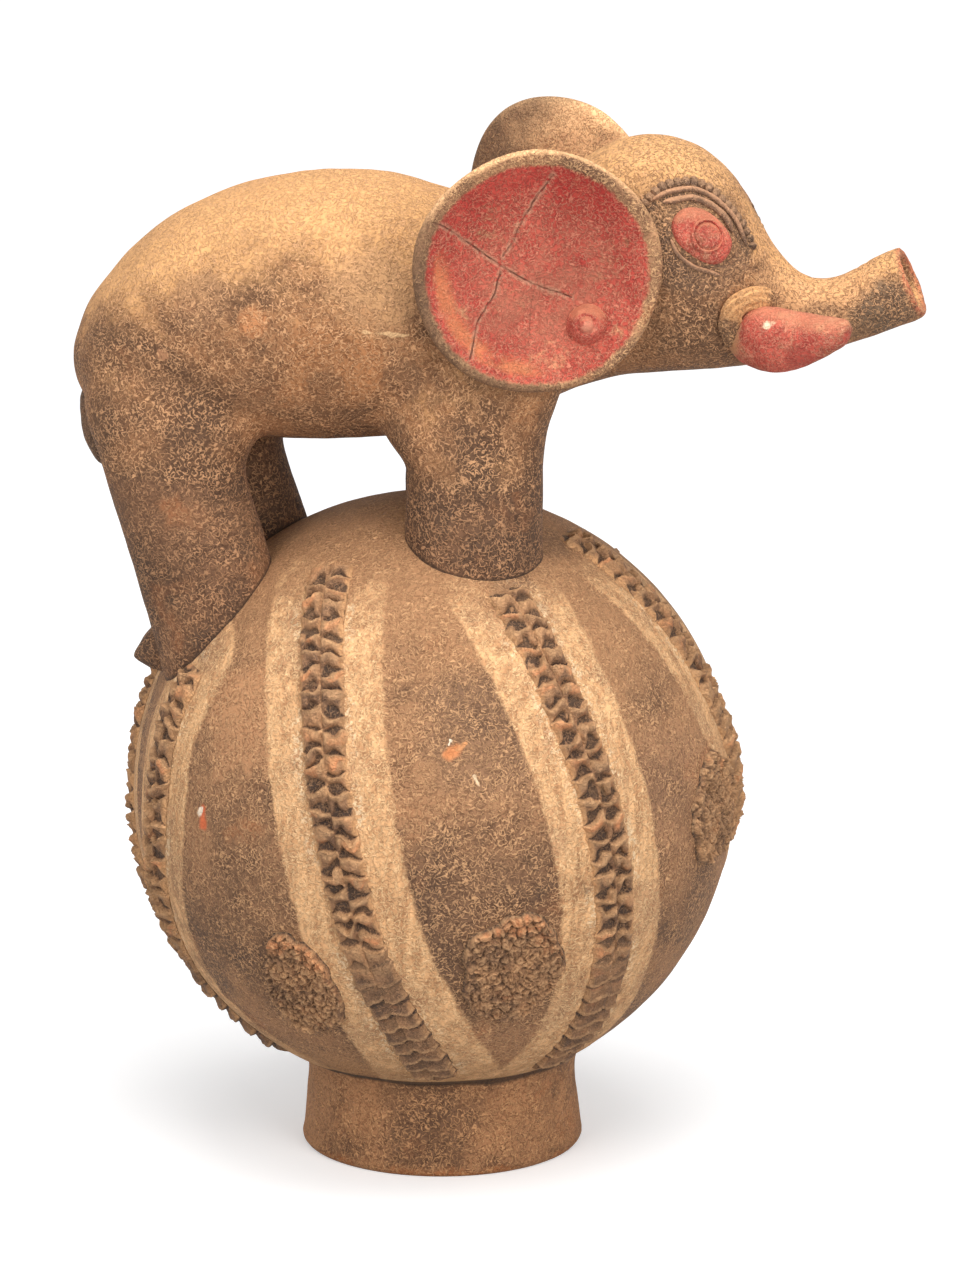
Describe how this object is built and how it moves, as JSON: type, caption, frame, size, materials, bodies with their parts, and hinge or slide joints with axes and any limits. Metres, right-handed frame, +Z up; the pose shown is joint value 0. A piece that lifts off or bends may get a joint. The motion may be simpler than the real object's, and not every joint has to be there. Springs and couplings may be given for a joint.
{
  "type": "figural terracotta vessel",
  "caption": "Hollow fired-clay elephant standing on a ribbed globe with a low foot ring; its open raised trunk is the pouring spout.",
  "frame": {"origin": "centre of the bounding box's bottom face, on the plane the foot ring rests on", "axes": "+Z up, +X towards the trunk tip, -Y towards the elephant's right side"},
  "size_m": [0.4746, 0.3426, 0.5828],
  "materials": {
    "brown_clay": "matt fired brown clay",
    "globe_clay": "matt fired clay with pale slip bands beside the ribs",
    "dark_relief": "rough dark relief with worn orange tips",
    "red_pigment": "worn red pigment over clay",
    "pale_slip": "matt pale slip"
  },
  "bodies": {
    "root": {"foot_ring": "brown_clay", "leg_rear_right": "brown_clay", "leg_rear_left": "brown_clay", "leg_front_right": "brown_clay", "leg_front_left": "brown_clay", "heel_rear_right": "brown_clay", "heel_rear_left": "brown_clay", "elephant_body": "brown_clay", "head": "brown_clay", "trunk_spout": "brown_clay", "brow_inner_right": "brown_clay", "brow_inner_left": "brown_clay", "brow_outer_right": "brown_clay", "brow_outer_left": "brown_clay", "lid_right": "brown_clay", "lid_left": "brown_clay", "globe": "globe_clay", "tail": "dark_relief", "pupil_right": "dark_relief", "pupil_left": "dark_relief", "brow_notched_right": "dark_relief", "brow_notched_left": "dark_relief", "rib_1": "dark_relief", "rib_2": "dark_relief", "rib_3": "dark_relief", "rib_4": "dark_relief", "rib_5": "dark_relief", "rib_6": "dark_relief", "rib_7": "dark_relief", "rib_8": "dark_relief", "roundel_1": "dark_relief", "roundel_2": "dark_relief", "roundel_3": "dark_relief", "roundel_4": "dark_relief", "roundel_5": "dark_relief", "roundel_6": "dark_relief", "ear_right": "red_pigment", "ear_left": "red_pigment", "ear_boss_right": "red_pigment", "ear_boss_left": "red_pigment", "eye_right": "red_pigment", "eye_left": "red_pigment", "tusk_right": "red_pigment", "tusk_left": "red_pigment", "tusk_fold_right": "pale_slip", "tusk_fold_left": "pale_slip"}
  },
  "joints": []
}
